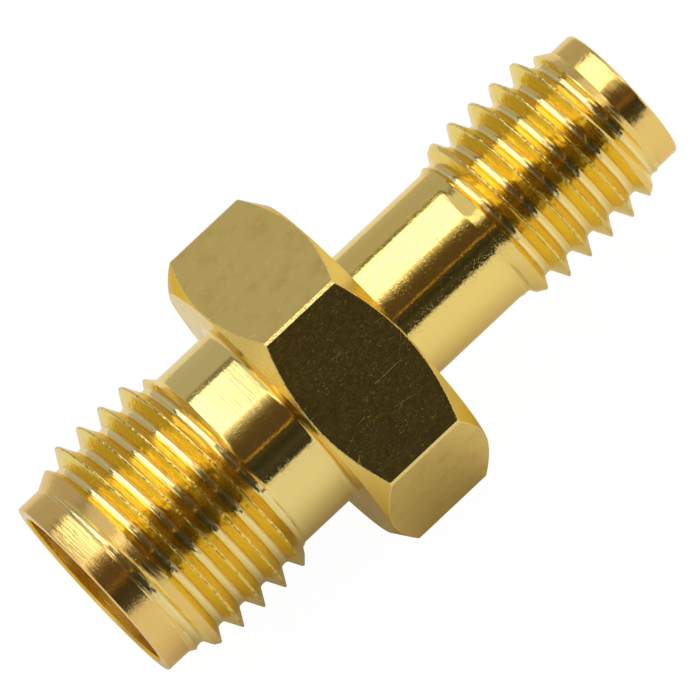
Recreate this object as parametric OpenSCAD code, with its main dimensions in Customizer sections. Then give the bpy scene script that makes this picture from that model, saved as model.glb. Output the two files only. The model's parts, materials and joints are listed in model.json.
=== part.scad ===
// Straight coaxial adapter between two thread sizes, with a socket at each end.
// It lies on one flat of its hexagon: the axis runs along X, the small end points to +X,
// and the origin is the middle of the flat that it lies on.

/* [Wrench hexagon] */
// Size across the flats
hex_af = 8; // [7.5:0.1:10]
// Width of the hexagon along the axis, face to face
hex_w = 3.15; // [2.5:0.05:6]
// Diameter over the turned corners
hex_corner_d = 9.18; // [9:0.02:9.4]
// Diameter of the flat ring on each face, where the corner chamfer starts
hex_face_d = 7.92; // [7:0.02:7.96]
// Angle of the corner chamfer, from the face
hex_chamfer_angle = 35.5; // [15:0.5:45]

/* [Threads of both ends] */
// Pitch, 36 turns to the inch
thread_pitch = 0.7056; // [0.65:0.0001:0.8]
// Depth of the thread, crest to root
thread_depth = 0.43; // [0.35:0.01:0.45]
// Width of the flat on the crest
crest_w = 0.09; // [0.05:0.01:0.14]
// Angle of the ramp from the lead-in up to the crests, from the axis
lead_ramp_angle = 32; // [25:1:60]
// Angle of the run-out from the neck up to the crests, from the axis
runout_angle = 45; // [30:1:60]

/* [Large end] */
// Major diameter of the large thread
large_thread_d = 6.28; // [6.1:0.01:6.6]
// Diameter of the neck and of the lead-in
large_neck_d = 5.33; // [5.2:0.01:5.4]
// Length from the hexagon to the end face
large_len = 6.25; // [5:0.05:9]
// Length of the plain neck beside the hexagon
large_neck_len = 1.82; // [1:0.02:2.5]
// Length of the plain lead-in behind the end face
large_lead_len = 0.75; // [0.4:0.05:1]
// Diameter of the socket that takes the mating outer conductor
large_socket_d = 4.6; // [4.5:0.02:4.8]
// Depth of the socket, from the end face to the contact plane
large_socket_depth = 1.93; // [1.8:0.01:2.1]
// Diameter of the bore that holds the insulator
large_bore_d = 4.12; // [3.9:0.02:4.3]

/* [Small end] */
// Major diameter of the small thread
small_thread_d = 4.74; // [4.6:0.01:4.9]
// Diameter of the neck and of the lead-in
small_neck_d = 3.82; // [3.7:0.01:3.86]
// Length from the hexagon to the end face
small_len = 8.3; // [7:0.05:11]
// Length of the plain neck beside the hexagon
small_neck_len = 3.2; // [1.5:0.05:4]
// Length of the plain lead-in behind the end face
small_lead_len = 0.65; // [0.4:0.05:1]
// Diameter of the socket that takes the mating outer conductor
small_socket_d = 3.16; // [3:0.02:3.3]
// Depth of the socket, from the end face to the contact plane
small_socket_depth = 1.5; // [1.3:0.01:1.7]
// Diameter of the bore that holds the insulator
small_bore_d = 2.6; // [2.4:0.02:2.8]

/* [Insulators] */
// Distance from the middle of the hexagon to the face where the insulators meet
meeting_x = 0.4; // [-0.4:0.1:0.6]
// Diameter of the small insulator's flange
flange_d = 3.3; // [3:0.05:3.6]
// Thickness of the small insulator's flange
flange_w = 0.9; // [0.6:0.05:1.1]
// Clearance of the insulators in the body, on the radius
insulator_gap = 0.01; // [0.005:0.005:0.03]

/* [Centre contact] */
// Diameter of the contact at the large end
large_pin_d = 1.27; // [1.2:0.01:1.35]
// Bore of the contact at the large end
large_pin_bore_d = 0.94; // [0.9:0.01:0.98]
// Depth of the bore at the large end
large_pin_bore_depth = 3; // [2.5:0.1:4]
// Length of the sawn slots at the large end
large_slot_len = 2.3; // [1.5:0.1:2.5]
// Width of the sawn slots at the large end
large_slot_w = 0.14; // [0.1:0.01:0.16]
// Diameter of the contact at the small end
small_pin_d = 0.8; // [0.76:0.01:0.86]
// Bore of the contact at the small end
small_pin_bore_d = 0.52; // [0.49:0.01:0.55]
// Depth of the bore at the small end
small_pin_bore_depth = 2; // [1.7:0.1:3]
// Length of the sawn slots at the small end
small_slot_len = 1.5; // [1:0.1:1.7]
// Width of the sawn slots at the small end
small_slot_w = 0.11; // [0.08:0.01:0.14]
// Diameter of the collar that holds the contact
collar_d = 1.9; // [1.7:0.05:2.2]
// Thickness of the collar
collar_w = 0.6; // [0.4:0.05:0.8]
// Clearance of the contact in the insulators, on the radius
contact_gap = 0.02; // [0.01:0.005:0.04]

/* [Edges] */
// Fillet between the hexagon and each neck
neck_fillet = 0.12; // [0.05:0.01:0.3]
// Bevel on the outer edge of each end face
face_bevel = 0.08; // [0.02:0.01:0.1]
// Bevel at the mouth of each socket
mouth_bevel = 0.06; // [0.02:0.01:0.1]
// Bevel at the mouths of the contact
contact_bevel = 0.05; // [0.02:0.01:0.08]

/* [Hidden] */
$fn = 96;

flank_w = thread_depth * tan(30);
// Cuts run past the faces that they open by this much
past = 0.5;

large_face_x = -hex_w / 2 - large_len;
small_face_x = hex_w / 2 + small_len;
large_plane_x = large_face_x + large_socket_depth;
small_plane_x = small_face_x - small_socket_depth;
flange_end_x = meeting_x + flange_w;
collar_x = meeting_x - collar_w;

// Turns a shape that was made along Z so that it lies along X, above the flat that it rests on
module lay_down() {
    translate([0, 0, hex_af / 2])
        rotate([0, 90, 0])
            children();
}

// Round bar from one place on the axis to another
module bar(d, from, to) {
    translate([0, 0, from])
        cylinder(d = d, h = to - from);
}

// Cone frustum that opens from one diameter to another
module taper(d_from, d_to, from, to) {
    translate([0, 0, from])
        cylinder(d1 = d_from, d2 = d_to, h = to - from);
}

// Solid of revolution from a half section, given as points of radius and place on the axis
module turned(section) {
    rotate_extrude()
        polygon(section);
}

// One thread ridge, with its crest at the given place
module ridge(major_d, at) {
    crest_r = major_d / 2;
    root_r = crest_r - thread_depth;
    foot = crest_w / 2 + flank_w;
    turned([
        [0, at - foot],
        [root_r, at - foot],
        [crest_r, at - crest_w / 2],
        [crest_r, at + crest_w / 2],
        [root_r, at + foot],
        [0, at + foot]
    ]);
}

// Thread along +Z: a ridge for each turn on the root, all trimmed by a ramp at both ends
module thread(major_d, neck_d, from, to) {
    crest_r = major_d / 2;
    neck_r = neck_d / 2;
    runout = (crest_r - neck_r) / tan(runout_angle);
    lead_ramp = (crest_r - neck_r) / tan(lead_ramp_angle);
    first = from + runout + crest_w / 2;
    turns = floor((to - first) / thread_pitch) + 1;
    intersection() {
        union() {
            bar(major_d - 2 * thread_depth, from, to);
            for (turn = [0 : turns - 1])
                ridge(major_d, first + turn * thread_pitch);
        }
        turned([
            [0, from],
            [neck_r, from],
            [crest_r, from + runout],
            [crest_r, to - lead_ramp],
            [neck_r, to],
            [0, to]
        ]);
    }
}

// Ring that fills the corner between the hexagon's face and a neck
module neck_corner(neck_d) {
    rotate_extrude()
        translate([neck_d / 2, 0])
            difference() {
                square(neck_fillet);
                translate([neck_fillet, neck_fillet])
                    circle(neck_fillet);
            }
}

// One threaded end along +Z, from the hexagon's face at zero to the end face
module threaded_end(thread_d, neck_d, len, neck_len, lead_len) {
    neck_r = neck_d / 2;
    turned([
        [0, -past],
        [neck_r, -past],
        [neck_r, len - face_bevel],
        [neck_r - face_bevel, len],
        [0, len]
    ]);
    thread(thread_d, neck_d, neck_len, len - lead_len);
    neck_corner(neck_d);
}

// Hexagon with turned corners, chamfered towards both faces
module wrench_hexagon() {
    half_w = hex_w / 2;
    face_r = hex_face_d / 2;
    corner_r = hex_corner_d / 2;
    chamfer_drop = (corner_r - face_r) * tan(hex_chamfer_angle);
    intersection() {
        rotate([0, 0, 30])
            translate([0, 0, -half_w])
                cylinder(r = hex_af / 2 / cos(30), h = hex_w, $fn = 6);
        turned([
            [0, -half_w],
            [face_r, -half_w],
            [corner_r, -half_w + chamfer_drop],
            [corner_r, half_w - chamfer_drop],
            [face_r, half_w],
            [0, half_w]
        ]);
    }
}

// Stepped bore of the body, from mouth to mouth
module outer_conductor_bore() {
    taper(large_socket_d + 2 * mouth_bevel, large_socket_d, large_face_x, large_face_x + mouth_bevel);
    bar(large_socket_d, large_face_x - past, large_plane_x);
    bar(large_bore_d, large_plane_x - past, meeting_x);
    bar(flange_d, meeting_x - past, flange_end_x);
    bar(small_bore_d, flange_end_x - past, small_plane_x + past);
    bar(small_socket_d, small_plane_x, small_face_x + past);
    taper(small_socket_d, small_socket_d + 2 * mouth_bevel, small_face_x - mouth_bevel, small_face_x);
}

module body() {
    color("gold")
        lay_down()
            difference() {
                union() {
                    wrench_hexagon();
                    translate([0, 0, hex_w / 2])
                        threaded_end(small_thread_d, small_neck_d, small_len, small_neck_len, small_lead_len);
                    mirror([0, 0, 1])
                        translate([0, 0, hex_w / 2])
                            threaded_end(large_thread_d, large_neck_d, large_len, large_neck_len, large_lead_len);
                }
                outer_conductor_bore();
            }
}

module large_insulator() {
    color("white")
        lay_down()
            difference() {
                bar(large_bore_d - 2 * insulator_gap, large_plane_x, meeting_x);
                bar(large_pin_d + 2 * contact_gap, large_plane_x - past, meeting_x);
                bar(collar_d + 2 * contact_gap, collar_x, meeting_x + past);
            }
}

module small_insulator() {
    color("white")
        lay_down()
            difference() {
                union() {
                    bar(flange_d - 2 * insulator_gap, meeting_x, flange_end_x);
                    bar(small_bore_d - 2 * insulator_gap, meeting_x, small_plane_x);
                }
                bar(small_pin_d + 2 * contact_gap, meeting_x - past, small_plane_x + past);
            }
}

// Saw cut right across the end of the contact, from its tip at zero along +Z
module saw_cut(width, len) {
    translate([-width / 2, -collar_d, -past])
        cube([width, 2 * collar_d, len + past]);
}

module centre_contact() {
    color("gold")
        lay_down()
            difference() {
                union() {
                    bar(large_pin_d, large_plane_x, meeting_x);
                    bar(collar_d, collar_x, meeting_x);
                    bar(small_pin_d, meeting_x - collar_w / 2, small_plane_x);
                }
                bar(large_pin_bore_d, large_plane_x - past, large_plane_x + large_pin_bore_depth);
                taper(large_pin_bore_d + 2 * contact_bevel, large_pin_bore_d,
                      large_plane_x, large_plane_x + contact_bevel);
                bar(small_pin_bore_d, small_plane_x - small_pin_bore_depth, small_plane_x + past);
                taper(small_pin_bore_d, small_pin_bore_d + 2 * contact_bevel,
                      small_plane_x - contact_bevel, small_plane_x);
                for (turn = [0, 90])
                    translate([0, 0, large_plane_x])
                        rotate([0, 0, turn])
                            saw_cut(large_slot_w, large_slot_len);
                translate([0, 0, small_plane_x])
                    mirror([0, 0, 1])
                        saw_cut(small_slot_w, small_slot_len);
            }
}

body();
large_insulator();
small_insulator();
centre_contact();
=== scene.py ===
import json
import math
import bpy
import bmesh
from mathutils import Matrix, Vector, noise


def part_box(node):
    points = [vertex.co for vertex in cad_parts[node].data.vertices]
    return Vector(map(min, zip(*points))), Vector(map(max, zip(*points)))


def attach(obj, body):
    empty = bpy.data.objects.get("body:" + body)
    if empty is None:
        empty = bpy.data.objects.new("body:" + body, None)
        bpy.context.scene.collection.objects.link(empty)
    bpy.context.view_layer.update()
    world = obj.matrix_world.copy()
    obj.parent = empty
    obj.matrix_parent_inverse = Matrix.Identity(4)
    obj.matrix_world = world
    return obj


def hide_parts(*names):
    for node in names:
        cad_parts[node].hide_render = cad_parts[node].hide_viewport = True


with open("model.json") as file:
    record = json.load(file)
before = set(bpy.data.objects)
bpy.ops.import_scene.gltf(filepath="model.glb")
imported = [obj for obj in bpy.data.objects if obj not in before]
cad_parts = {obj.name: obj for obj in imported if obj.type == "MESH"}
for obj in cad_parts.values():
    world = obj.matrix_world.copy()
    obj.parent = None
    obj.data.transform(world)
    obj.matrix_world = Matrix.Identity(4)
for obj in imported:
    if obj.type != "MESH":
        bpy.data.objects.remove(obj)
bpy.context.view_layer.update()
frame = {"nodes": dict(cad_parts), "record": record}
print("frame loaded:", sorted(frame["nodes"]))

# the part is modelled in millimetres round its own axis, then lifted to the axis and made metres
mm = 0.001
hair = 0.001  # places nearer than this are the same
bodyLow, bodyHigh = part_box("body")
axisHeight = (bodyLow.z + bodyHigh.z) / 2 / mm
largeFace = bodyLow.x / mm
smallFace = bodyHigh.x / mm
hexOutside = axisHeight - 0.1  # only the outside of the hexagon lies farther out than this
columns = 240  # steps round the axis; the hexagon's corners fall midway between two of them
mounts = {m["name"]: m for m in frame["record"]["mounts"]}


def mountRadius(name):
    return mounts[name]["dims"]["r_mm"]


# shader node helpers

fading = (1.0, 0.0)  # results of a ramp that goes down


def newMaterial(name):
    material = bpy.data.materials.new(name)
    material.use_nodes = True
    tree = material.node_tree
    return material, tree, tree.nodes["Principled BSDF"]


def newGroup(name, inputs, outputs):
    group = bpy.data.node_groups.new(name, "ShaderNodeTree")
    for label, kind, value in inputs:
        socket = group.interface.new_socket(label, in_out="INPUT", socket_type=kind)
        if value is not None:
            socket.default_value = value
    for label, kind in outputs:
        group.interface.new_socket(label, in_out="OUTPUT", socket_type=kind)
    return group, group.nodes.new("NodeGroupInput").outputs, group.nodes.new("NodeGroupOutput").inputs


def feed(tree, socket, value):
    # a socket takes a link or a plain value
    if isinstance(value, bpy.types.NodeSocket):
        tree.links.new(value, socket)
    else:
        socket.default_value = value


def addNode(tree, kind, settings=None, inputs=None):
    node = tree.nodes.new(kind)
    for key, value in (settings or {}).items():
        setattr(node, key, value)
    for key, value in (inputs or {}).items():
        feed(tree, node.inputs[key], value)
    return node


def mathNode(tree, operation, a, b=0.0, c=0.0):
    return addNode(tree, "ShaderNodeMath", {"operation": operation}, {0: a, 1: b, 2: c}).outputs[0]


def vectorNode(tree, operation, a, b=(0, 0, 0), result="Vector"):
    return addNode(tree, "ShaderNodeVectorMath", {"operation": operation}, {0: a, 1: b}).outputs[result]


def axisNode(tree, place, axis):
    return addNode(tree, "ShaderNodeSeparateXYZ", None, {0: place}).outputs[axis]


def noiseNode(tree, vector, scale, detail=2.0, roughness=0.5):
    return addNode(tree, "ShaderNodeTexNoise", {"noise_dimensions": "3D"}, {
        "Vector": vector, "Scale": scale, "Detail": detail, "Roughness": roughness}).outputs["Fac"]


def lineNoise(tree, value, scale=1.0, detail=1.0, roughness=0.5):
    # noise that changes with one measure only
    return addNode(tree, "ShaderNodeTexNoise", {"noise_dimensions": "1D"}, {
        "W": value, "Scale": scale, "Detail": detail, "Roughness": roughness}).outputs["Fac"]


def rampNode(tree, value, ends, results=(0.0, 1.0)):
    # smooth change from one result to the other between two ends
    return addNode(tree, "ShaderNodeMapRange", {"interpolation_type": "SMOOTHSTEP"}, {
        "Value": value, "From Min": ends[0], "From Max": ends[1],
        "To Min": results[0], "To Max": results[1]}).outputs["Result"]


def mixNode(tree, kind, factor, a, b):
    node = addNode(tree, "ShaderNodeMix", {"data_type": kind})
    for label, value in (("Factor", factor), ("A", a), ("B", b)):
        feed(tree, next(s for s in node.inputs if s.name == label and s.enabled), value)
    return next(s for s in node.outputs if s.enabled)


def mixColours(tree, factor, a, b):
    return mixNode(tree, "RGBA", factor, a, b)


# shared effects, all in millimetres round the part's axis

def makeAxisPlace():
    group, start, finish = newGroup("axisPlace", [], [("Place", "NodeSocketVector")])
    place = addNode(group, "ShaderNodeTexCoord").outputs["Object"]
    lifted = vectorNode(group, "SUBTRACT", place, (0, 0, axisHeight * mm))
    group.links.new(vectorNode(group, "MULTIPLY", lifted, (1 / mm, 1 / mm, 1 / mm)), finish["Place"])
    return group


def makeTurningMarks():
    # streaks that follow the cutting tool round the axis, and plain rings along it
    group, start, finish = newGroup("turningMarks", [
        ("Place", "NodeSocketVector", None),
        ("Streak Width", "NodeSocketFloat", 0.07),
        ("Streak Length", "NodeSocketFloat", 0.4),
        ("Ring Width", "NodeSocketFloat", 0.05),
    ], [("Streaks", "NodeSocketFloat"), ("Rings", "NodeSocketFloat")])
    width, length = start["Streak Width"], start["Streak Length"]
    stretch = addNode(group, "ShaderNodeCombineXYZ", None, {0: width, 1: length, 2: length}).outputs[0]
    streaks = noiseNode(group, vectorNode(group, "DIVIDE", start["Place"], stretch), 1.0, roughness=0.55)
    group.links.new(streaks, finish["Streaks"])
    along = mathNode(group, "DIVIDE", axisNode(group, start["Place"], "X"), start["Ring Width"])
    group.links.new(lineNoise(group, along, detail=2.0, roughness=0.6), finish["Rings"])
    return group


grainForm = {
    "roughness": 0.55, "patchScale": 2.2, "patchShare": 0.5, "speckRamp": (0.60, 0.72),
    "smallestPit": 0.05, "pitSpread": 0.12, "pitRamp": (0.3, 1.2),
}


def makePlatingGrain():
    # fine unevenness of the plating, small raised specks in patches, and single pits
    group, start, finish = newGroup("platingGrain", [
        ("Place", "NodeSocketVector", None),
        ("Grain Size", "NodeSocketFloat", 0.08),
        ("Speck Size", "NodeSocketFloat", 0.07),
        ("Wave Size", "NodeSocketFloat", 0.4),
        ("Pit Spacing", "NodeSocketFloat", 0.25),
        ("Pit Share", "NodeSocketFloat", 0.2),
    ], [(label, "NodeSocketFloat") for label in ("Grain", "Specks", "Waves", "Pits")])
    place = start["Place"]

    def scaleOf(label):
        return mathNode(group, "DIVIDE", 1.0, start[label])

    def sized(label, detail):
        return noiseNode(group, place, scaleOf(label), detail, grainForm["roughness"])

    group.links.new(sized("Grain Size", 2.0), finish["Grain"])
    group.links.new(sized("Wave Size", 1.0), finish["Waves"])
    share = grainForm["patchShare"]
    patches = noiseNode(group, place, grainForm["patchScale"])
    patches = mathNode(group, "MULTIPLY_ADD", patches, share, -share / 2)
    specks = mathNode(group, "ADD", sized("Speck Size", 1.0), patches)
    group.links.new(rampNode(group, specks, grainForm["speckRamp"]), finish["Specks"])
    cells = addNode(group, "ShaderNodeTexVoronoi", {"feature": "F1"}, {
        "Vector": place, "Scale": scaleOf("Pit Spacing")}).outputs
    chosen = addNode(group, "ShaderNodeSeparateColor", None, {0: cells["Color"]}).outputs
    size = mathNode(group, "MULTIPLY_ADD", chosen[1], grainForm["pitSpread"], grainForm["smallestPit"])
    dot = rampNode(group, mathNode(group, "DIVIDE", cells["Distance"], size), grainForm["pitRamp"], fading)
    pits = mathNode(group, "MULTIPLY", dot, mathNode(group, "LESS_THAN", chosen[0], start["Pit Share"]))
    group.links.new(pits, finish["Pits"])
    return group


scratchForm = {
    "axis": (0.0, -0.75, 0.66), "stretch": (0.25, 2.6, 2.6), "width": (0.002, 0.006),
    "patchStretch": (0.9, 3.0, 3.0), "patchLimit": 0.75, "patchGain": 0.4, "patchFade": 0.08,
}


def makeScratches():
    # thin lines that run about along the axis, each only a stretch long
    group, start, finish = newGroup("handlingScratches", [
        ("Place", "NodeSocketVector", None),
        ("Turn", "NodeSocketFloat", 0.12),
        ("Share", "NodeSocketFloat", 0.4),
    ], [("Lines", "NodeSocketFloat")])
    turned = addNode(group, "ShaderNodeVectorRotate", {"rotation_type": "AXIS_ANGLE"}, {
        "Vector": start["Place"], "Axis": scratchForm["axis"], "Angle": start["Turn"]}).outputs[0]

    def stretched(stretch):
        return noiseNode(group, vectorNode(group, "MULTIPLY", turned, stretch), 1.0, detail=1.0)

    offset = mathNode(group, "SUBTRACT", stretched(scratchForm["stretch"]), 0.5)
    line = rampNode(group, mathNode(group, "ABSOLUTE", offset), scratchForm["width"], fading)
    gain = mathNode(group, "MULTIPLY", start["Share"], scratchForm["patchGain"])
    limit = mathNode(group, "SUBTRACT", scratchForm["patchLimit"], gain)
    full = mathNode(group, "ADD", limit, scratchForm["patchFade"])
    kept = rampNode(group, stretched(scratchForm["patchStretch"]), (limit, full))
    group.links.new(mathNode(group, "MULTIPLY", line, kept), finish["Lines"])
    return group


axisPlace = makeAxisPlace()
turningMarks = makeTurningMarks()
platingGrain = makePlatingGrain()
handlingScratches = makeScratches()


def useGroup(tree, group, place=None, values=None):
    node = addNode(tree, "ShaderNodeGroup", {"node_tree": group})
    if place is not None:
        tree.links.new(place, node.inputs["Place"])
    for label, value in (values or {}).items():
        node.inputs[label].default_value = value
    return node.outputs


# the gold finishes of the body, in millimetres: a streak has width, length and depth, a pit spacing, share and
# depth, and a ring, the grain, a speck and a wave have size and depth
gold = {
    "common": {"edge": (1.0, 0.93, 0.75), "shadeShare": 0.0, "scratch": 0.0},
    # painted shade: pits, and the bore's walls by their own share, are mixed towards this darker, deeper amber
    "paintedShade": (0.80, 0.50, 0.09, 1.0), "pitShadeShare": 0.5,
    "streakRamp": (0.3, 0.7), "streakDull": (0.8, 1.25), "speckDull": 0.06,
    "scratchTurns": ((0.12, 1.0), (-0.7, 0.6)), "scratchDepth": 0.0004, "scratchDull": 0.22,
    "largeNeck": {
        "colour": (0.92, 0.715, 0.240), "roughness": 0.075,
        "streak": (0.045, 1.20, 0.0080), "ring": (0.04, 0.001), "grain": (0.055, 0.0010),
        "speck": (0.05, 0.0006), "wave": (0.6, 0.001), "pit": (0.3, 0.05, 0.003)},
    "smallNeck": {
        "colour": (0.92, 0.685, 0.200), "roughness": 0.085,
        "streak": (0.045, 1.00, 0.0066), "ring": (0.04, 0.001), "grain": (0.055, 0.0013),
        "speck": (0.05, 0.0010), "wave": (0.5, 0.0015), "pit": (0.3, 0.06, 0.003)},
    "thread": {
        "colour": (0.940, 0.720, 0.155), "roughness": 0.19,
        "streak": (0.04, 0.60, 0.0060), "ring": (0.025, 0.001), "grain": (0.04, 0.0005),
        "speck": (0.06, 0.0004), "wave": (0.24, 0.013), "pit": (0.25, 0.05, 0.003),
        # levels go from 0 at the root to 1 at the crest; marks have a noise scale and a depth
        "turns": {
            "rootColour": (0.93, 0.78, 0.37, 1.0), "rootFrom": (-0.04, -0.01), "rootTo": (0.02, 0.10),
            "crestColour": (0.90, 0.62, 0.15, 1.0), "crestFrom": (0.970, 0.990), "crestDull": 0.03,
            "groove": (14.0, 0.045), "grooveTo": (0.05, 0.60), "breakScale": 2.5,
            "flank": (15.0, 0.021), "flankPlace": (0.42, 0.48),
            "dent": (8.0, 0.06), "dentFrom": (0.92, 0.97),
            "nick": (8.0, 0.010), "nickRamp": (0.54, 0.60), "nickFrom": (0.90, 0.95),
            "nickShadeColour": (0.26, 0.12, 0.02, 1.0),
            "wornFrom": (0.945, 0.965), "wornShare": 0.9}},
    "largeLead": {
        "colour": (0.90, 0.600, 0.185), "roughness": 0.17,
        "streak": (0.045, 0.60, 0.0090), "ring": (0.05, 0.001), "grain": (0.045, 0.0024),
        "speck": (0.05, 0.0006), "wave": (0.5, 0.003), "pit": (0.2, 0.10, 0.003)},
    "smallLead": {
        "colour": (0.90, 0.615, 0.180), "roughness": 0.17,
        "streak": (0.045, 0.60, 0.0080), "ring": (0.05, 0.001), "grain": (0.045, 0.0020),
        "speck": (0.05, 0.0008), "wave": (0.33, 0.009), "pit": (0.2, 0.10, 0.003)},
    "flat": {
        "colour": (0.91, 0.68, 0.205), "edge": (1.0, 0.90, 0.65), "roughness": 0.13,
        "streak": (0.14, 0.05, 0.0018), "ring": (0.5, 0.0), "grain": (0.08, 0.0060),
        "speck": (0.055, 0.0004), "wave": (0.9, 0.003), "pit": (0.25, 0.09, 0.004), "scratch": 0.34,
        "stain": {"colour": (0.74, 0.49, 0.13, 1.0), "scale": 1.7, "ramp": (0.45, 0.75), "share": 0.5},
        "mottle": {"ramp": (0.4, 0.75), "patchScale": 4.0, "patchRamp": (0.3, 0.65),
                   "patchShare": (0.45, 1.0), "dull": 0.115},
        "longScratch": {"start": 0.17, "end": 1.11, "fade": 0.1, "up": -0.218, "width": 0.014,
                        "upFlat": (0, 0.5, 0.866), "outOfFlat": (0, -0.866, 0.5),
                        "wornScale": 9.0, "wornRamp": (0.3, 0.6), "wornShare": (0.6, 1.5)}},
    "edge": {
        "colour": (0.90, 0.68, 0.22), "roughness": 0.24,
        "streak": (0.05, 0.05, 0.006), "ring": (0.05, 0.0), "grain": (0.05, 0.016),
        "speck": (0.06, 0.002), "wave": (0.3, 0.006), "pit": (0.2, 0.2, 0.006)},
    "face": {
        "colour": (0.90, 0.67, 0.20), "edge": (0.95, 0.86, 0.55), "roughness": 0.16,
        "streak": (0.05, 0.2, 0.001), "ring": (0.05, 0.001), "grain": (0.05, 0.0004),
        "speck": (0.07, 0.0004), "wave": (0.5, 0.002), "pit": (0.3, 0.1, 0.003)},
    "cone": {
        # painted shade: the chamfer cones are darker than the flats, in colour and in grazing tint
        "colour": (0.885, 0.635, 0.165), "edge": (0.85, 0.62, 0.26), "roughness": 0.15,
        "streak": (0.05, 0.2, 0.002), "ring": (0.05, 0.001), "grain": (0.05, 0.0006),
        "speck": (0.07, 0.0004), "wave": (0.5, 0.002), "pit": (0.3, 0.06, 0.002)},
    "bore": {
        # the bore's walls are a darker, deeper amber: painted shade inside the sockets
        "colour": (0.88, 0.56, 0.07), "edge": (0.95, 0.70, 0.30), "roughness": 0.30, "shadeShare": 0.3,
        "streak": (0.04, 0.3, 0.006), "ring": (0.05, 0.003), "grain": (0.05, 0.001),
        "speck": (0.07, 0.001), "wave": (0.5, 0.002), "pit": (0.3, 0.1, 0.003)},
}


def scratchLine(tree, place, spot):
    # the one long scratch of the front upper flat, along the axis
    x = axisNode(tree, place, "X")
    up = vectorNode(tree, "DOT_PRODUCT", place, spot["upFlat"], "Value")
    out = vectorNode(tree, "DOT_PRODUCT", place, spot["outOfFlat"], "Value")
    offset = mathNode(tree, "ABSOLUTE", mathNode(tree, "SUBTRACT", up, spot["up"]))
    line = rampNode(tree, offset, (0.0, spot["width"]), fading)
    line = mathNode(tree, "MULTIPLY", line, mathNode(tree, "GREATER_THAN", out, hexOutside))
    reach = mathNode(tree, "MULTIPLY", rampNode(tree, x, (spot["start"], spot["start"] + spot["fade"])),
                     rampNode(tree, x, (spot["end"] - spot["fade"], spot["end"]), fading))
    worn = noiseNode(tree, place, spot["wornScale"], detail=1.0)
    worn = rampNode(tree, worn, spot["wornRamp"], spot["wornShare"])
    return mathNode(tree, "MULTIPLY", mathNode(tree, "MULTIPLY", line, reach), worn)


def outwardNormal(tree, place, share):
    # the surface's normal, turned by a share towards straight out from the axis
    outward = vectorNode(tree, "NORMALIZE", vectorNode(tree, "MULTIPLY", place, (0, 1, 1)))
    outward = addNode(tree, "ShaderNodeVectorTransform", {
        "vector_type": "NORMAL", "convert_from": "OBJECT", "convert_to": "WORLD"}, {0: outward}).outputs[0]
    shape = addNode(tree, "ShaderNodeNewGeometry").outputs["Normal"]
    return vectorNode(tree, "NORMALIZE", mixNode(tree, "VECTOR", share, shape, outward))


def wearThread(tree, place, turns, colour, height, roughness):
    # pale root, darker crest, lines along the groove, dents, and nicks with painted shade
    level = addNode(tree, "ShaderNodeAttribute", {"attribute_name": "threadLevel"}).outputs["Fac"]
    inTurn = addNode(tree, "ShaderNodeAttribute", {"attribute_name": "threadPlace"}).outputs["Fac"]
    onRoot = mathNode(tree, "MULTIPLY", rampNode(tree, level, turns["rootFrom"]),
                      rampNode(tree, level, turns["rootTo"], fading))
    onCrest = rampNode(tree, level, turns["crestFrom"])
    colour = mixColours(tree, onRoot, colour, turns["rootColour"])
    colour = mixColours(tree, onCrest, colour, turns["crestColour"])
    roughness = mathNode(tree, "MULTIPLY_ADD", onCrest, turns["crestDull"], roughness)
    # fine lines that the tool left along the groove, strongest in its bottom
    broken = noiseNode(tree, place, turns["breakScale"], detail=1.0)
    scale, depth = turns["groove"]
    fine = mathNode(tree, "MULTIPLY", lineNoise(tree, inTurn, scale), broken)
    fine = mathNode(tree, "MULTIPLY", fine, rampNode(tree, level, turns["grooveTo"], (depth * mm, 0.0)))
    height = mathNode(tree, "ADD", height, fine)
    # and coarser ones up the flank that faces the large end
    scale, depth = turns["flank"]
    facing = rampNode(tree, inTurn, turns["flankPlace"])
    coarse = mathNode(tree, "MULTIPLY", lineNoise(tree, inTurn, scale), facing)
    coarse = mathNode(tree, "MULTIPLY", coarse, depth * mm)
    height = mathNode(tree, "MULTIPLY_ADD", coarse, broken, height)
    # dents and nicks along the crests; the nicks get painted shade
    scale, depth = turns["dent"]
    dents = mathNode(tree, "SUBTRACT", noiseNode(tree, place, scale, detail=0.0), 0.5)
    dents = mathNode(tree, "MULTIPLY", dents, rampNode(tree, level, turns["dentFrom"]))
    height = mathNode(tree, "MULTIPLY_ADD", dents, depth * mm, height)
    scale, depth = turns["nick"]
    bites = rampNode(tree, noiseNode(tree, place, scale, detail=1.0), turns["nickRamp"])
    nickDentsAndShade = mathNode(tree, "MULTIPLY", rampNode(tree, level, turns["nickFrom"]), bites)
    # painted shade: the nicks are darkened to a deep brown
    colour = mixColours(tree, nickDentsAndShade, colour, turns["nickShadeColour"])
    height = mathNode(tree, "MULTIPLY_ADD", nickDentsAndShade, -depth * mm, height)
    # wear has flattened the very top of the crests between the nicks
    worn = mathNode(tree, "MULTIPLY", rampNode(tree, level, turns["wornFrom"], (0.0, turns["wornShare"])),
                    mathNode(tree, "SUBTRACT", 1.0, bites))
    return colour, height, roughness, outwardNormal(tree, place, worn)


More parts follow.
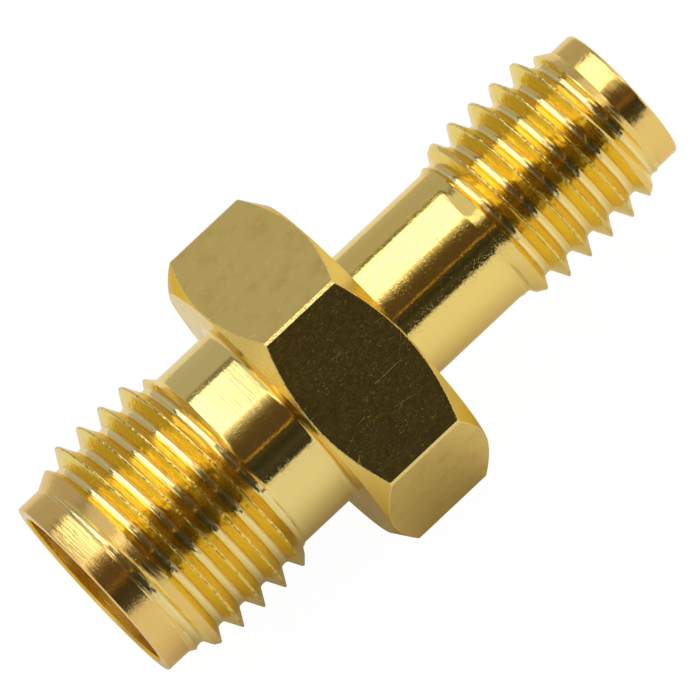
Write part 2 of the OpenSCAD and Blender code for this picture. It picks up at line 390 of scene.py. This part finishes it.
def makeGold(name, values):
    finish = {**gold["common"], **values}
    streak, ring, grain, speck, wave, pit = (
        finish[mark] for mark in ("streak", "ring", "grain", "speck", "wave", "pit"))
    material, tree, shader = newMaterial(name)
    place = useGroup(tree, axisPlace)["Place"]
    marks = useGroup(tree, turningMarks, place, {
        "Streak Width": streak[0], "Streak Length": streak[1], "Ring Width": ring[0]})
    plating = useGroup(tree, platingGrain, place, {
        "Grain Size": grain[0], "Speck Size": speck[0], "Wave Size": wave[0],
        "Pit Spacing": pit[0], "Pit Share": pit[1]})
    along, across = (
        useGroup(tree, handlingScratches, place, {"Turn": turn, "Share": finish["scratch"] * share})["Lines"]
        for turn, share in gold["scratchTurns"])
    lines = mathNode(tree, "MAXIMUM", along, across)
    if "longScratch" in finish:
        lines = mathNode(tree, "MAXIMUM", lines, scratchLine(tree, place, finish["longScratch"]))
    height = 0.0
    for value, depth in ((marks["Streaks"], streak[2]), (marks["Rings"], ring[1]),
                         (plating["Grain"], grain[1]), (plating["Specks"], speck[1]),
                         (plating["Waves"], wave[1]), (plating["Pits"], -pit[2]),
                         (lines, -gold["scratchDepth"])):
        height = mathNode(tree, "MULTIPLY_ADD", value, depth * mm, height)
    # painted shade: the pits and the bore's walls are darkened towards a deeper amber
    paintedShade = mathNode(tree, "MULTIPLY_ADD", plating["Pits"], gold["pitShadeShare"], finish["shadeShare"])
    colour = mixColours(tree, paintedShade, (*finish["colour"], 1.0), gold["paintedShade"])
    if "stain" in finish:
        stain = finish["stain"]
        smudge = noiseNode(tree, place, stain["scale"], detail=3.0, roughness=0.6)
        smudge = rampNode(tree, smudge, stain["ramp"], (0.0, stain["share"]))
        colour = mixColours(tree, smudge, colour, stain["colour"])
    # scratches and specks scatter the light a little more than the polish round them
    roughness = rampNode(tree, marks["Streaks"], gold["streakRamp"],
                         [finish["roughness"] * share for share in gold["streakDull"]])
    if "mottle" in finish:
        # dull spots in loose patches
        mottle = finish["mottle"]
        patches = rampNode(tree, noiseNode(tree, place, mottle["patchScale"]),
                           mottle["patchRamp"], mottle["patchShare"])
        spots = mathNode(tree, "MULTIPLY", rampNode(tree, plating["Grain"], mottle["ramp"]), patches)
        roughness = mathNode(tree, "MULTIPLY_ADD", spots, mottle["dull"], roughness)
    roughness = mathNode(tree, "MULTIPLY_ADD", plating["Specks"], gold["speckDull"], roughness)
    roughness = mathNode(tree, "MULTIPLY_ADD", lines, gold["scratchDull"], roughness)
    bump = addNode(tree, "ShaderNodeBump", None, {"Strength": 1.0, "Distance": 1.0})
    if "turns" in finish:
        colour, height, roughness, normal = wearThread(tree, place, finish["turns"], colour, height, roughness)
        tree.links.new(normal, bump.inputs["Normal"])
    tree.links.new(height, bump.inputs["Height"])
    tree.links.new(bump.outputs["Normal"], shader.inputs["Normal"])
    tree.links.new(colour, shader.inputs["Base Color"])
    tree.links.new(roughness, shader.inputs["Roughness"])
    shader.inputs["Metallic"].default_value = 1.0
    shader.inputs["Specular Tint"].default_value = (*finish["edge"], 1.0)
    return material


zones = ["largeNeck", "smallNeck", "thread", "largeLead", "smallLead", "flat", "edge", "cone", "face", "bore"]
bodyMaterials = [makeGold("gold" + zone[0].upper() + zone[1:], gold[zone]) for zone in zones]
print("gold finishes made")


# the body's mesh: lengths in millimetres from the hexagon's middle, angles in degrees

body = {
    "hexWidth": 3.15, "hexFaceRadius": 3.96, "hexCornerRadius": 4.59, "hexChamfer": 35.5, "hexEdgeBevel": 0.02,
    "neckFillet": 0.14, "largeRim": 0.04, "smallRim": 0.10, "mouthBevel": 0.06,
    "pitch": 0.7056, "threadDepth": 0.43, "crestRound": 0.03,
    "rootWidth": 0.19, "rootRound": 0.025, "rootHollow": 0.0075,
    "crestWear": {"band": 0.02, "scale": (3.0, 9.0, 9.0), "depth": 0.008},
    "runoutSide": 41.6,  # where round the axis the run-outs start latest or soonest
    "large": {"neck": 2.665, "neckLength": 1.60, "leadLength": 0.67, "leadRamp": 28.6, "crestAtTop": -6.047,
              "runout": 47.0, "runoutBlend": 0.12, "runoutSkew": -0.08},
    "small": {"neck": 1.91, "neckLength": 3.02, "leadLength": 0.65, "leadRamp": 31.0, "crestAtTop": 5.591,
              "runout": 29.0, "runoutBlend": 0.13, "runoutSkew": 0.20},
    "largePlane": 1.93, "smallPlane": 1.5, "largeBore": 2.06, "smallBore": 1.3,
    "meeting": 0.4, "flangeBore": 1.65, "flangeEnd": 1.3,
    "hexSharp": 12, "turnedSharp": 28, "flatWeight": 60,
}
halfHex = body["hexWidth"] / 2
flatStart = halfHex - 0.3  # the flats' ends in the turned section, until formHexagon moves them
largeNeckEnd = -halfHex - body["large"]["neckLength"]
smallNeckEnd = halfHex + body["small"]["neckLength"]
largeLeadStart = largeFace + body["large"]["leadLength"]
smallLeadStart = smallFace - body["small"]["leadLength"]
halfStep = math.pi / columns
hexSide = math.pi / 3
mergeGap = 0.0002
threadLayers = ("threadLevel", "threadPlace")


def newMesh():
    # every stretch of the body carries the thread's attributes, so that joining keeps them
    bm = bmesh.new()
    for layer in threadLayers:
        bm.verts.layers.float.new(layer)
    return bm


def spinSection(points, rise=0.0):
    # half section as place on the axis and radius, spun a quarter round the axis and copied three times
    bm = newMesh()
    verts = [bm.verts.new((x, -r * math.sin(halfStep), r * math.cos(halfStep))) for x, r in points]
    edges = [bm.edges.new(pair) for pair in zip(verts, verts[1:])]
    bmesh.ops.spin(bm, geom=verts + edges, cent=(0, 0, 0), axis=(1, 0, 0), dvec=(rise / columns, 0, 0),
                   angle=math.pi / 2, steps=columns // 4, use_merge=False, use_duplicate=False)
    quarter = bm.verts[:] + bm.edges[:] + bm.faces[:]
    for turn in range(1, 4):
        copied = bmesh.ops.duplicate(bm, geom=quarter)["geom"]
        copiedVerts = [g for g in copied if isinstance(g, bmesh.types.BMVert)]
        quarterTurns = Matrix.Rotation(turn * math.pi / 2, 3, "X")
        bmesh.ops.rotate(bm, verts=copiedVerts, cent=(0, 0, 0), matrix=quarterTurns)
        bmesh.ops.translate(bm, verts=copiedVerts, vec=(rise * turn / 4, 0, 0))
    bmesh.ops.remove_doubles(bm, verts=bm.verts, dist=mergeGap)
    return bm


def joinInto(whole, part):
    mesh = bpy.data.meshes.new("joined")
    part.to_mesh(mesh)
    part.free()
    whole.from_mesh(mesh)
    bpy.data.meshes.remove(mesh)


def arcPoints(centre, size, start, end, steps):
    # points on a round, with angles in degrees from the axis direction
    turns = [math.radians(start + (end - start) * i / steps) for i in range(steps + 1)]
    return [(centre[0] + size * math.cos(t), centre[1] + size * math.sin(t)) for t in turns]


def formHexagon(bm):
    # the two round ends of the flats become hexagons that a turned chamfer cuts
    slope = math.tan(math.radians(body["hexChamfer"]))
    cornerHalf = hexSide / 2 - math.acos(axisHeight / body["hexCornerRadius"])
    rings = [v for v in bm.verts if abs(abs(v.co.x) - flatStart) < hair]
    for v in rings:
        angle = math.atan2(-v.co.y, v.co.z)
        corner = (math.floor(angle / hexSide) + 0.5) * hexSide
        if abs(angle - corner) < halfStep * 1.1:
            angle = corner + math.copysign(cornerHalf, angle - corner)  # the corner's narrow land
        radius = axisHeight / math.cos(angle - round(angle / hexSide) * hexSide)
        x = halfHex - (radius - body["hexFaceRadius"]) * slope
        v.co = Vector((math.copysign(x, v.co.x), -radius * math.sin(angle), radius * math.cos(angle)))
    # the edges of the flats are broken a hair
    bend = 0.4  # radians; the lands of the corners bend more than this, the flats not at all
    onRing = set(rings)
    between = [e for e in bm.edges if e.verts[0] in onRing and e.verts[1] in onRing]
    broken = [e for e in between if e.verts[0].co.x * e.verts[1].co.x > 0 or e.calc_face_angle(0.0) > bend]
    bmesh.ops.bevel(bm, geom=broken, offset=body["hexEdgeBevel"], offset_type="OFFSET", segments=2,
                    profile=0.5, affect="EDGES", material=-1, loop_slide=True)


def makeMiddle():
    # both necks and the hexagon between the two threads
    large, small, fillet = body["large"]["neck"], body["small"]["neck"], body["neckFillet"]
    points = [(largeNeckEnd, large)]
    points += arcPoints((-halfHex - fillet, large + fillet), fillet, -90, 0, steps=5)
    points += [(-halfHex, body["hexFaceRadius"]), (-flatStart, axisHeight)]
    points += [(flatStart, axisHeight), (halfHex, body["hexFaceRadius"])]
    points += arcPoints((halfHex + fillet, small + fillet), fillet, 180, 270, steps=5)
    points += [(smallNeckEnd, small)]
    bm = spinSection(points)
    formHexagon(bm)
    return bm


def makeEndsAndBore():
    # lead-ins, end faces, sockets and the stepped bore, from the large thread to the small one
    large, small, mouth = body["large"]["neck"], body["small"]["neck"], body["mouthBevel"]
    largeRim, smallRim = body["largeRim"], body["smallRim"]
    largeSocket, smallSocket = mountRadius("large_socket"), mountRadius("small_socket")
    largePlane, smallPlane = largeFace + body["largePlane"], smallFace - body["smallPlane"]
    points = [(largeLeadStart, large)]
    points += arcPoints((largeFace + largeRim, large - largeRim), largeRim, 90, 180, steps=3)
    points += [
        (largeFace, largeSocket + mouth),
        (largeFace + mouth, largeSocket),
        (largePlane, largeSocket),
        (largePlane, body["largeBore"]),
        (body["meeting"], body["largeBore"]),
        (body["meeting"], body["flangeBore"]),
        (body["flangeEnd"], body["flangeBore"]),
        (body["flangeEnd"], body["smallBore"]),
        (smallPlane, body["smallBore"]),
        (smallPlane, smallSocket),
        (smallFace - mouth, smallSocket),
        (smallFace, smallSocket + mouth),
    ]
    points += arcPoints((smallFace - smallRim, small - smallRim), smallRim, 0, 90, steps=5)
    points += [(smallLeadStart, small)]
    return spinSection(points)


def flankLean(reach):
    # the flank's angle that brings the rounded crest down to the root's corner, found by halving
    depth, rounding = body["threadDepth"], body["crestRound"]
    low, high = 0.0, math.radians(40)
    for step in range(40):
        lean = (low + high) / 2
        width = rounding * math.cos(lean) + (depth - rounding * (1 - math.sin(lean))) * math.tan(lean)
        low, high = (lean, high) if width < reach else (low, lean)
    return lean


def threadTurn(crest):
    # one turn of the thread from crest to crest: rounded crest, straight flanks, slightly hollow root
    pitch, corner, hollow = body["pitch"], body["rootRound"], body["rootHollow"]
    rounding, root = body["crestRound"], crest - body["threadDepth"]
    middle, reach = pitch / 2, pitch / 2 - body["rootWidth"] / 2
    lean = flankLean(reach)
    degrees = math.degrees(lean)
    crestPoints = arcPoints((0, crest - rounding), rounding, 180 - degrees, degrees, steps=6)
    x, r = crestPoints[-1]
    foot = (reach - corner * math.sin(lean), root + corner * math.cos(lean))
    steps = 5
    flankPoints = [(x + (foot[0] - x) * i / steps, r + (foot[1] - r) * i / steps) for i in range(1, steps + 1)]
    # halfway to its middle a round hollow is three quarters deep
    flankPoints += [(reach + corner, root), ((reach + corner + middle) / 2, root - 0.75 * hollow)]
    mirrored = [(pitch - x, r) for x, r in reversed(flankPoints)]
    return crestPoints + flankPoints + [(middle, root - hollow)] + mirrored


def rampHeight(distance, degrees, blend=0.0):
    # height of a ramp that starts with a rounded foot
    slope = math.tan(math.radians(degrees))
    if distance <= 0:
        return 0.0
    if distance < blend:
        return slope * distance * distance / (2 * blend)
    return slope * (distance - blend / 2)


def makeThread(crest, end, neckPlace, leadPlace):
    # the turns are spun with a rise of one pitch, then trimmed by the lead-in's ramp and the run-out
    pitch, wear, skew = body["pitch"], body["crestWear"], end["runoutSkew"]
    low, high = sorted((neckPlace, leadPlace))
    first = math.floor((low - pitch - end["crestAtTop"]) / pitch) - 1
    last = math.ceil((high - end["crestAtTop"]) / pitch) + 1
    turn = threadTurn(crest)
    points = [(end["crestAtTop"] + k * pitch + x, r) for k in range(first, last) for x, r in turn]
    bm = spinSection(points, rise=pitch)
    levels, places = (bm.verts.layers.float[layer] for layer in threadLayers)
    for v in bm.verts:
        angle = math.atan2(-v.co.y, v.co.z)
        v[places] = (v.co.x - end["crestAtTop"] - pitch * angle / (2 * math.pi)) % pitch
        x = min(max(v.co.x, low), high)
        full = math.hypot(v.co.y, v.co.z)
        radius = full
        if full > crest - wear["band"]:
            spot = Vector([c * s for c, s in zip((x, v.co.y, v.co.z), wear["scale"])])
            radius -= wear["depth"] * max(0.0, noise.noise(spot))
        # the run-out starts later on one side, as the tool leaves the groove
        side = math.cos(angle + math.radians(body["runoutSide"]))
        late = (1 + side * math.copysign(1, skew)) / 2 * abs(skew)
        runout = rampHeight(abs(x - neckPlace) - late, end["runout"], end["runoutBlend"])
        radius = min(radius, end["neck"] + runout, end["neck"] + rampHeight(abs(x - leadPlace), end["leadRamp"]))
        v[levels] = 1 - (crest - radius) / body["threadDepth"]
        v.co = Vector((x, v.co.y * radius / full, v.co.z * radius / full))
    return bm


# how faces of the body are told apart: shares of their normal along the axis, and heights
zoneLimits = {
    "endFace": 0.98, "chamfer": 0.78, "level": 0.02, "flatTurn": 0.01, "hexRise": 0.3, "boreWall": 0.08,
    "proud": 0.012, "leadRamp": (0.3, 0.7), "runout": (-0.8, -0.05),
}


def zoneOf(face):
    centre, normal = face.calc_center_median(), face.normal
    x, radius = centre.x, math.hypot(centre.y, centre.z)
    lean = abs(normal.x)
    neckRadius = body["large" if x < 0 else "small"]["neck"]
    neck, lead = ("largeNeck", "largeLead") if x < 0 else ("smallNeck", "smallLead")
    if lean > zoneLimits["endFace"] and abs(abs(x) - halfHex) < hair:
        return "face"
    if abs(x) < halfHex + hair and radius > body["large"]["neck"] + zoneLimits["hexRise"]:
        if lean > zoneLimits["chamfer"]:
            return "cone"
        turn = abs(math.atan2(-normal.y, normal.z)) / hexSide
        onFlat = lean < zoneLimits["level"] and abs(turn - round(turn)) < zoneLimits["flatTurn"]
        return "flat" if onFlat else "edge"
    if x < largeFace + hair or x > smallFace - hair:
        return lead
    inLarge = x < 0 and radius < mountRadius("large_socket") + zoneLimits["boreWall"]
    if inLarge or radius < mountRadius("small_socket") + zoneLimits["boreWall"]:
        return "bore"
    if x < largeLeadStart or x > smallLeadStart:
        return lead
    outward = math.copysign(1, x) * normal.x
    if radius - neckRadius > zoneLimits["proud"] and (x < largeNeckEnd or x > smallNeckEnd):
        if zoneLimits["leadRamp"][0] < outward < zoneLimits["leadRamp"][1]:
            return lead
        if not zoneLimits["runout"][0] <= outward <= zoneLimits["runout"][1]:
            return "thread"
    return neck


def meshObject(name, bm, materials):
    mesh = bpy.data.meshes.new(name)
    bm.to_mesh(mesh)
    bm.free()
    for material in materials:
        mesh.materials.append(material)
    made = bpy.data.objects.new(name, mesh)
    bpy.context.scene.collection.objects.link(made)
    return made


def makeBody():
    bm = newMesh()
    joinInto(bm, makeMiddle())
    joinInto(bm, makeEndsAndBore())
    joinInto(bm, makeThread(mountRadius("large_thread"), body["large"], largeNeckEnd, largeLeadStart))
    joinInto(bm, makeThread(mountRadius("small_thread"), body["small"], smallNeckEnd, smallLeadStart))
    bmesh.ops.remove_doubles(bm, verts=bm.verts, dist=2 * mergeGap)
    bmesh.ops.dissolve_degenerate(bm, edges=bm.edges, dist=mergeGap)
    bmesh.ops.recalc_face_normals(bm, faces=bm.faces)
    for face in bm.faces:
        face.smooth = True
        face.material_index = zones.index(zoneOf(face))
    onHex = {v for v in bm.verts if abs(v.co.x) < halfHex + hair and math.hypot(v.co.y, v.co.z) > hexOutside}
    for edge in bm.edges:
        sharp = body["hexSharp"] if onHex.issuperset(edge.verts) else body["turnedSharp"]
        edge.smooth = edge.calc_face_angle(0.0) < math.radians(sharp)
    print("body faces", len(bm.faces), "open edges", sum(not e.is_manifold for e in bm.edges))
    bmesh.ops.translate(bm, verts=bm.verts, vec=(0, 0, axisHeight))
    bmesh.ops.scale(bm, verts=bm.verts, vec=(mm, mm, mm))
    return meshObject("body_shell", bm, bodyMaterials)


bodyShell = makeBody()
shading = bodyShell.modifiers.new("flatShading", "WEIGHTED_NORMAL")
shading.weight = body["flatWeight"]
shading.keep_sharp = True
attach(bodyShell, "root")
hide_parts("body")
print("body made")


# the insulators and the centre contact keep their CAD shape

ptfe = {
    "colour": (0.88, 0.87, 0.84, 1.0), "shade": (0.80, 0.78, 0.73, 1.0), "cloudSize": 0.3,
    "cloudRamp": (0.35, 0.75), "cloudShare": 0.6, "roughness": 0.42, "grainRamp": (0.3, 0.7),
    "grainDull": (0.85, 1.15), "ring": (0.06, 0.003), "grain": (0.09, 0.002),
}


def makePtfe():
    # waxy white with faint turning rings
    material, tree, shader = newMaterial("ptfeWhite")
    place = useGroup(tree, axisPlace)["Place"]
    ringWidth, ringDepth = ptfe["ring"]
    grainSize, grainDepth = ptfe["grain"]
    marks = useGroup(tree, turningMarks, place, {
        "Streak Width": ptfe["cloudSize"], "Streak Length": ptfe["cloudSize"], "Ring Width": ringWidth})
    grain = useGroup(tree, platingGrain, place, {"Grain Size": grainSize})["Grain"]
    # on the flat ends the tool's marks are rings about the axis
    distance = vectorNode(tree, "LENGTH", vectorNode(tree, "MULTIPLY", place, (0, 1, 1)), result="Value")
    rings = lineNoise(tree, mathNode(tree, "DIVIDE", distance, ringWidth))
    height = mathNode(tree, "MULTIPLY", mathNode(tree, "ADD", rings, marks["Rings"]), ringDepth * mm)
    height = mathNode(tree, "MULTIPLY_ADD", grain, grainDepth * mm, height)
    bump = addNode(tree, "ShaderNodeBump", None, {"Strength": 1.0, "Distance": 1.0, "Height": height})
    tree.links.new(bump.outputs["Normal"], shader.inputs["Normal"])
    cloud = rampNode(tree, marks["Streaks"], ptfe["cloudRamp"], (0.0, ptfe["cloudShare"]))
    tree.links.new(mixColours(tree, cloud, ptfe["colour"], ptfe["shade"]), shader.inputs["Base Color"])
    dull = [ptfe["roughness"] * share for share in ptfe["grainDull"]]
    tree.links.new(rampNode(tree, grain, ptfe["grainRamp"], dull), shader.inputs["Roughness"])
    return material


contact = {
    "colour": (0.90, 0.65, 0.19), "roughness": 0.26,
    "streak": (0.04, 0.30, 0.0030), "ring": (0.04, 0.0015), "grain": (0.04, 0.0008),
    "speck": (0.06, 0.0006), "wave": (0.4, 0.001), "pit": (0.2, 0.06, 0.002),
}
ptfeWhite = makePtfe()
contactGold = makeGold("contactGold", contact)
innerFinishes = {"large_insulator": ptfeWhite, "small_insulator": ptfeWhite, "centre_contact": contactGold}
for name, material in innerFinishes.items():
    node = frame["nodes"][name]
    node.data.materials.clear()
    node.data.materials.append(material)
print("insulators and contact finished")


# studio: pale floor, overhead soft light, and two glowing cards seen only in reflections, a dark one on the
# camera's side and a grey one behind: painted reflections lengths in metres; a card's light is given by the
# angle at which the part sees it

studio = {
    "lampColour": (1.0, 1.03, 1.12), "lampHeight": 0.30, "lampTowardCamera": 20.5, "lampBehind": 30.2,
    "lamps": {"overheadSoftbox": {"length": 1.4, "shift": 0.0, "drop": 0.0, "radiance": 0.70},
              "softboxCore": {"length": 0.13, "shift": 0.055, "drop": 0.0127, "radiance": 1.60}},
    "lampBack": {"length": 1.4, "margin": 0.02, "gap": 0.005},
    "floorSize": 4.0, "floorColour": 0.80, "floorRoughness": 0.9, "floorWhite": 1.03,
    # in reflections the floor's white lift changes along floorShade: painted shadow towards the large end
    "floorForCamera": 0.95, "floorForGloss": (0.08, 0.34), "floorShade": (0.0, 0.006),
    "worldGrey": 0.52, "cardLength": 1.6,
    "cameraCard": {
        "side": -1, "distance": 0.11, "top": 70.5,
        "flare": {"lift": 10.0, "reach": (0.055, 0.12), "angles": (39.6, 54.0)},
        # painted reflections; the narrow orange stop at 29.5 to 30.4 degrees is a painted glint, a thin orange
        # line in the dark band of the necks
        "stops": [
            (0.0, (0.034, 0.033, 0.029)), (11.5, (0.060, 0.056, 0.046)), (15.5, (0.038, 0.037, 0.032)),
            (18.4, (0.031, 0.030, 0.026)), (21.5, (0.038, 0.036, 0.031)), (25.5, (0.052, 0.047, 0.038)),
            (29.2, (0.032, 0.030, 0.025)), (29.5, (0.80, 0.48, 0.07)), (30.4, (0.80, 0.48, 0.07)),
            (30.8, (0.085, 0.058, 0.038)), (46.0, (0.095, 0.064, 0.040)), (54.0, (0.125, 0.090, 0.060)),
            (59.0, (0.27, 0.22, 0.16)), (64.5, (0.66, 0.60, 0.50)), (69.5, (1.5, 1.45, 1.4))]},
    "backCard": {
        "side": 1, "distance": 0.32, "top": 62.0,
        "stops": [
            (0.0, (0.52, 0.52, 0.60)), (25.0, (0.46, 0.46, 0.50)), (50.5, (0.46, 0.46, 0.49)),
            (52.0, (0.22, 0.21, 0.19)), (62.0, (0.20, 0.19, 0.18))]},
}
partMiddle = Vector((0, 0, axisHeight * mm))
rightAngle = 90


def unitSquare():
    bm = bmesh.new()
    bmesh.ops.create_grid(bm, x_segments=1, y_segments=1, size=0.5)
    return bm


def finishStage(name, bm, material):
    made = meshObject(name, bm, [material])
    return made


def showInReflections(made):
    made.visible_camera = False
    made.visible_shadow = False
    made.visible_diffuse = False


def makeCard(name, card):
    # upright glowing card, seen only in reflections, whose light changes with the angle at which the part sees
    # it: a painted reflection
    material, tree, shader = newMaterial(name)
    tree.nodes.remove(shader)
    place = addNode(tree, "ShaderNodeTexCoord").outputs["Object"]
    rise = mathNode(tree, "SUBTRACT", axisNode(tree, place, "Z"), axisHeight * mm)
    angle = mathNode(tree, "ARCTANGENT", mathNode(tree, "DIVIDE", rise, card["distance"]))
    height = mathNode(tree, "DIVIDE", angle, math.pi / 2)
    if "flare" in card:
        # the bright part reaches lower towards the card's ends
        flare = card["flare"]
        fromMiddle = mathNode(tree, "ABSOLUTE", axisNode(tree, place, "X"))
        outer = rampNode(tree, fromMiddle, flare["reach"], (0.0, flare["lift"] / rightAngle))
        upper = rampNode(tree, height, [degrees / rightAngle for degrees in flare["angles"]])
        height = mathNode(tree, "ADD", height, mathNode(tree, "MULTIPLY", outer, upper))
    ramp = addNode(tree, "ShaderNodeValToRGB", None, {0: height})
    stops = ramp.color_ramp.elements
    while len(stops) < len(card["stops"]):
        stops.new(0.5)
    for stop, (degrees, colour) in zip(stops, card["stops"]):
        stop.position = degrees / rightAngle
        stop.color = (*colour, 1.0)
    light = addNode(tree, "ShaderNodeEmission", None, {"Color": ramp.outputs[0], "Strength": 1.0})
    tree.links.new(light.outputs[0], tree.nodes["Material Output"].inputs["Surface"])
    bm = unitSquare()
    bmesh.ops.rotate(bm, verts=bm.verts, cent=(0, 0, 0), matrix=Matrix.Rotation(math.pi / 2, 3, "X"))
    top = axisHeight * mm + card["distance"] * math.tan(math.radians(card["top"]))
    bmesh.ops.scale(bm, verts=bm.verts, vec=(studio["cardLength"], 1, top))
    bmesh.ops.translate(bm, verts=bm.verts, vec=(0, card["side"] * card["distance"], top / 2))
    showInReflections(finishStage(name, bm, material))


def makeFloor():
    material, tree, shader = newMaterial("paleFloor")
    grey = studio["floorColour"]
    shader.inputs["Base Color"].default_value = (grey, grey, grey, 1.0)
    shader.inputs["Roughness"].default_value = studio["floorRoughness"]
    rays = addNode(tree, "ShaderNodeLightPath").outputs
    forCamera = mathNode(tree, "MULTIPLY", rays["Is Camera Ray"], studio["floorForCamera"])
    reflected = mathNode(tree, "MAXIMUM", rays["Is Glossy Ray"], rays["Is Transmission Ray"])
    # painted shadow: reflections see the floor lifted less towards the large end, so the part's shadow reads
    # deeper there
    x = axisNode(tree, addNode(tree, "ShaderNodeTexCoord").outputs["Object"], "X")
    paintedLift = rampNode(tree, x, studio["floorShade"], studio["floorForGloss"])
    share = mathNode(tree, "MULTIPLY_ADD", reflected, paintedLift, forCamera)
    white = addNode(tree, "ShaderNodeEmission", None, {"Color": (1, 1, 1, 1), "Strength": studio["floorWhite"]})
    mixed = addNode(tree, "ShaderNodeMixShader", None, {0: share, 1: shader.outputs[0], 2: white.outputs[0]})
    tree.links.new(mixed.outputs[0], tree.nodes["Material Output"].inputs["Surface"])
    bm = unitSquare()
    bmesh.ops.scale(bm, verts=bm.verts, vec=(studio["floorSize"], studio["floorSize"], 1))
    finishStage("floor", bm, material)


def lampReach():
    # how far the soft light reaches towards the camera and behind the part
    angles = (studio["lampTowardCamera"], studio["lampBehind"])
    return [studio["lampHeight"] * math.tan(math.radians(degrees)) for degrees in angles]


def makeLamps():
    # one long soft light, brighter in its middle
    near, far = lampReach()
    for name, values in studio["lamps"].items():
        lamp = bpy.data.lights.new(name, "AREA")
        lamp.shape = "RECTANGLE"
        lamp.size = values["length"]
        lamp.size_y = near + far
        lamp.color = studio["lampColour"]
        lamp.energy = math.pi * values["radiance"] * lamp.size * lamp.size_y
        holder = bpy.data.objects.new(name, lamp)
        # the core hangs a little lower, so that a reflection meets both
        height = studio["lampHeight"] - values["drop"]
        holder.location = partMiddle + Vector((values["shift"], (far - near) / 2, height))
        bpy.context.scene.collection.objects.link(holder)


def makeLampBack():
    # the dark back of the light, so that a reflection shows the light alone
    near, far = lampReach()
    back = studio["lampBack"]
    material, tree, shader = newMaterial("lampBack")
    shader.inputs["Base Color"].default_value = (0.0, 0.0, 0.0, 1.0)
    shader.inputs["Specular IOR Level"].default_value = 0.0
    bm = unitSquare()
    bmesh.ops.scale(bm, verts=bm.verts, vec=(back["length"], near + far + back["margin"], 1))
    above = Vector((0, (far - near) / 2, studio["lampHeight"] + back["gap"]))
    bmesh.ops.translate(bm, verts=bm.verts, vec=partMiddle + above)
    showInReflections(finishStage("lampBack", bm, material))


def makeWorld():
    world = bpy.data.worlds.new("paleRoom")
    bpy.context.scene.world = world
    world.use_nodes = True
    tree = world.node_tree
    rays = addNode(tree, "ShaderNodeLightPath").outputs
    reflected = mathNode(tree, "MAXIMUM", rays["Is Glossy Ray"], rays["Is Transmission Ray"])
    seen = mathNode(tree, "MAXIMUM", rays["Is Camera Ray"], reflected)
    strength = rampNode(tree, seen, (0.0, 1.0), (studio["worldGrey"], 1.0))
    tree.links.new(strength, tree.nodes["Background"].inputs["Strength"])
    tree.nodes["Background"].inputs["Color"].default_value = (1, 1, 1, 1)


makeFloor()
makeLamps()
makeLampBack()
makeWorld()
for name in ("cameraCard", "backCard"):
    makeCard(name, studio[name])
print("studio made")


# camera at the photograph's angle: degrees, millimetres and pixels
view = {
    "elevation": 41.56, "smallEndAway": 5.43, "turn": 43.19, "distance": 320.0,
    "pixelsPerMm": 41.28, "picturePixels": 700, "right": -0.5224, "down": 0.4666,
}


def makeCamera():
    data = bpy.data.cameras.new("photoView")
    data.sensor_width = 36.0
    data.lens = data.sensor_width * view["pixelsPerMm"] * view["distance"] / view["picturePixels"]
    data.clip_start, data.clip_end = 0.01, 10.0
    camera = bpy.data.objects.new("photoView", data)
    # looks square at the axis from above, then the small end swings away and the picture turns
    facing = Matrix.Rotation(math.radians(90 - view["elevation"]), 3, "X")
    swing = Matrix.Rotation(math.radians(-view["smallEndAway"]), 3, "Y")
    roll = Matrix.Rotation(math.radians(-view["turn"]), 3, "Z")
    basis = facing @ swing @ roll
    offset = basis @ Vector((view["right"], -view["down"], -view["distance"]))
    camera.matrix_world = Matrix.Translation(partMiddle - offset * mm) @ basis.to_4x4()
    bpy.context.scene.collection.objects.link(camera)
    bpy.context.scene.camera = camera


makeCamera()
bpy.context.scene.view_settings.view_transform = "Standard"
print("camera made")
